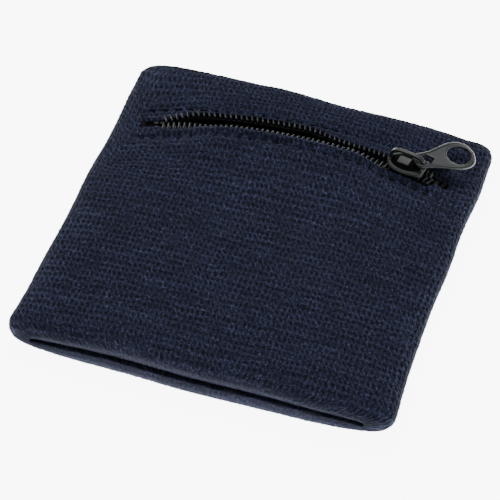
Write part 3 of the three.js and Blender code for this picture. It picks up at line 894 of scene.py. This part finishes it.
def puller():
    half = catmull([(-0.55, 0), (-0.45, 1.15), (0.2, 1.95), (1.3, 2.2), (3.0, 2.35), (5.0, 2.95), (7.0, 3.65), (8.8, 3.95), (10.6, 3.6), (12.0, 2.4), (12.7, 0)], 6) * [PULL_LEN, PULL_WID]
    outline = np.concatenate([half, (half[1:-1] * [1, -1])[::-1]])
    ctr = np.array([6.0, 0.0])
    # inset outline for the web and the rim's centre line
    t = np.roll(outline, -1, 0) - np.roll(outline, 1, 0)
    t /= np.linalg.norm(t, axis=1, keepdims=True)
    inw = np.stack([t[:, 1], -t[:, 0]], 1)
    inw *= np.sign(((ctr - outline) * inw).sum(1).mean())
    rim = outline + inw * 0.46
    a = np.linspace(0, 2 * math.pi, 44, endpoint=False)
    ca, sa = np.cos(a), np.sin(a)
    finger = np.stack([9.0 + np.where(ca > 0, 2.85, 2.35) * ca, 2.75 * sa * np.where(ca < 0, 1 - 0.12 * ca**2, 1)], 1)
    finger_rim = np.stack([9.0 + np.where(ca > 0, 3.15, 2.62) * ca, 3.05 * sa * np.where(ca < 0, 1 - 0.12 * ca**2, 1)], 1)
    finger, finger_rim = finger * [PULL_LEN, PULL_WID], finger_rim * [PULL_LEN, PULL_WID]
    yoke = [(0.5, -1.6), (0.8, -1.85), (2.3, -1.8), (3.95, 0), (2.3, 1.8), (0.8, 1.85), (0.5, 1.6)]
    # flat web with both windows, as a voxel-friendly cut: a flat plate built with bmesh and its holes left out
    shape = bpy.data.curves.new("web", "CURVE")
    shape.dimensions = "2D"
    shape.fill_mode = "BOTH"
    for loop in (outline + inw * 0.2, np.array(finger), np.array(yoke)):
        sp = shape.splines.new("POLY")
        sp.points.add(len(loop) - 1)
        for k, (x, y) in enumerate(loop):
            sp.points[k].co = (x * MM, y * MM, 0, 1)
        sp.use_cyclic_u = True
    shape.extrude = 0.30 * MM
    tmp = bpy.data.objects.new("web", shape)
    bpy.context.scene.collection.objects.link(tmp)
    deps = bpy.context.evaluated_depsgraph_get()
    me = bpy.data.meshes.new_from_object(tmp.evaluated_get(deps))
    bm = bmesh.new()
    bm.from_mesh(me)
    bmesh.ops.remove_doubles(bm, verts=bm.verts, dist=1e-7)
    bmesh.ops.recalc_face_normals(bm, faces=bm.faces)
    web_v = np.array([v.co[:] for v in bm.verts]) / MM
    web_f = [[v.index for v in f.verts] for f in bm.faces]
    bm.free()
    bpy.data.objects.remove(tmp)
    bpy.data.curves.remove(shape)
    bpy.data.meshes.remove(me)
    parts = [(web_v, web_f)]
    # raised rim all round, heavier at the finger end, and a lighter one round the finger window
    rr = 0.44 + 0.06 * smooth((rim[:, 0] - 6) / 5)
    parts.append(tube(np.c_[rim, np.zeros(len(rim))], rr, 12, closed=True))
    parts.append(tube(np.c_[finger_rim, np.zeros(len(finger_rim))], 0.36, 10, closed=True))
    cy, sy = math.cos(PULL_YAW), math.sin(PULL_YAW)
    cp, sp_ = math.cos(PULL_PITCH), math.sin(PULL_PITCH)
    placed = []
    for v, f in parts:
        v = np.array(v, float)
        x = v[:, 0] * cp + v[:, 2] * sp_
        z = -v[:, 0] * sp_ + v[:, 2] * cp
        y = v[:, 1]
        X = x * cy - y * sy + BAR_U
        Y = x * sy + y * cy
        placed.append((from_slider(np.stack([X, Y, z + BAR_Z], 1)), f))
    o = cast("puller_casting", placed, 0.085, 4, CAST)
    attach(o, "zip_puller")
    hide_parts("puller")


slider()
puller()


# ------------------------------------------------------------------ end stops
def stop(name, node_name, x0, x1, y0, y1, z0, z1, body="upper_panel"):
    drop = 0.8 * float(surface_drop((x0 + x1) / 2))
    a = np.linspace(0, 2 * math.pi, 24, endpoint=False)
    cx, cy = (x0 + x1) / 2, (y0 + y1) / 2
    e = 2 / 4.0
    out = np.stack([cx + (x1 - x0) / 2 * np.sign(np.cos(a)) * np.abs(np.cos(a)) ** e, cy + (y1 - y0) / 2 * np.sign(np.sin(a)) * np.abs(np.sin(a)) ** e], 1)
    groove = out.copy()
    groove[:, 0] = cx + (out[:, 0] - cx) * 0.82
    parts = [extrude(out, z0 - drop, z0 + (z1 - z0) * 0.55 - drop), extrude(groove, z0 - drop, z1 - drop)]
    parts = [(from_zip(v), f) for v, f in parts]
    o = cast(name, parts, 0.07, 4, STOP)
    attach(o, body)
    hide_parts(node_name)


stop("top_stop_near_clip", "top_stop_near", -31.3, -30.0, -1.9, -0.3, 7.2, 7.8)
stop("top_stop_far_clip", "top_stop_far", -31.3, -30.0, 0.3, 1.9, 7.2, 7.8)
stop("bottom_stop_clip", "bottom_stop", 31.2, 32.4, -1.9, 1.9, 7.2, 7.8)


# ------------------------------------------------------------------ thread
def strand(p, q, r, sag=0.0, n=7, sides=6, seed=0):
    t = np.linspace(0, 1, n)[:, None]
    pts = np.asarray(p, float) * (1 - t) + np.asarray(q, float) * t
    pts[:, 2] += sag * np.sin(np.pi * t[:, 0])
    taper = np.sqrt(np.clip(1 - (2 * t[:, 0] - 1) ** 8, 0.05, 1))
    return tube(pts, r * taper, sides)


def topstitch(side, name, node_name):
    parts = []
    step, length = 2.6, 2.05
    x = -32.4
    k = 0
    while x + length < 32.6:
        sd = STITCH_FAR if side > 0 else STITCH_NEAR
        zc = 8.4 - float(surface_drop(x + length / 2)) - 0.62
        if side < 0:
            zc += float(ride_up(x + length / 2)) * (1 - float(smooth((sd - 2.0) / 13.0)))
        j = RNG.uniform(-0.05, 0.05, 2)
        y = side * sd
        v, f = strand([x, y + j[0], zc - 0.06], [x + length, y + j[1], zc - 0.06], 0.17, 0.12)
        parts.append((from_zip(v), f))
        x += step
        k += 1
    v, f = join(parts)
    o = make(name, v, f)
    o.data.materials.append(THREAD)
    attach(o, "upper_panel")
    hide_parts(node_name)


topstitch(-1, "topstitch_near_thread", "topstitch_near")
topstitch(1, "topstitch_far_thread", "topstitch_far")


def bar_tack(sign, name, node_name):
    parts = []
    xc = sign * 33.4
    base = 8.4 - float(surface_drop(xc))
    y = -2.75
    while y < 2.75:
        j = RNG.uniform(-0.07, 0.07, 4)
        v, f = strand([xc - 0.48 + j[0], y + j[1], base - 0.30], [xc + 0.48 + j[2], y + 0.16 + j[3], base - 0.30], 0.13, 0.20)
        parts.append((from_zip(v), f))
        y += 0.27
    for dx in (-0.22, 0.2):
        v, f = strand([xc + dx, -2.9, base - 0.32], [xc + dx, 2.9, base - 0.32], 0.18, 0.06, 12)
        parts.append((from_zip(v), f))
    v, f = join(parts)
    o = make(name, v, f)
    o.data.materials.append(THREAD_TACK)
    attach(o, "upper_panel")
    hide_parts(node_name)


bar_tack(-1, "bar_tack_left_thread", "bar_tack_left")
bar_tack(1, "bar_tack_right_thread", "bar_tack_right")


def closing_seam(z, name, node_name, body):
    parts = []
    x = -33.2
    up = 1 if body == "lower_panel" else -1
    while x < 33.0:
        parts.append(strand([x, 40.15, z], [x + 0.9, 42.25, z], 0.13, 0.08 * up))
        parts.append(strand([x + 0.9, 42.25, z], [x + 1.8, 40.15, z], 0.13, 0.08 * up))
        x += 1.8
    for y in (40.1, 42.3):
        xs = np.linspace(-33.3, 33.3, 150)
        parts.append(tube(np.stack([xs, y + 0.05 * np.sin(xs * 3.49), np.full_like(xs, z)], 1), 0.14, 6))
    v, f = join(parts)
    o = make(name, v, f)
    o.data.materials.append(THREAD)
    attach(o, body)
    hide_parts(node_name)


closing_seam(3.42, "closing_seam_lower_thread", "closing_seam_lower", "lower_panel")
closing_seam(4.28, "closing_seam_upper_thread", "closing_seam_upper", "upper_panel")
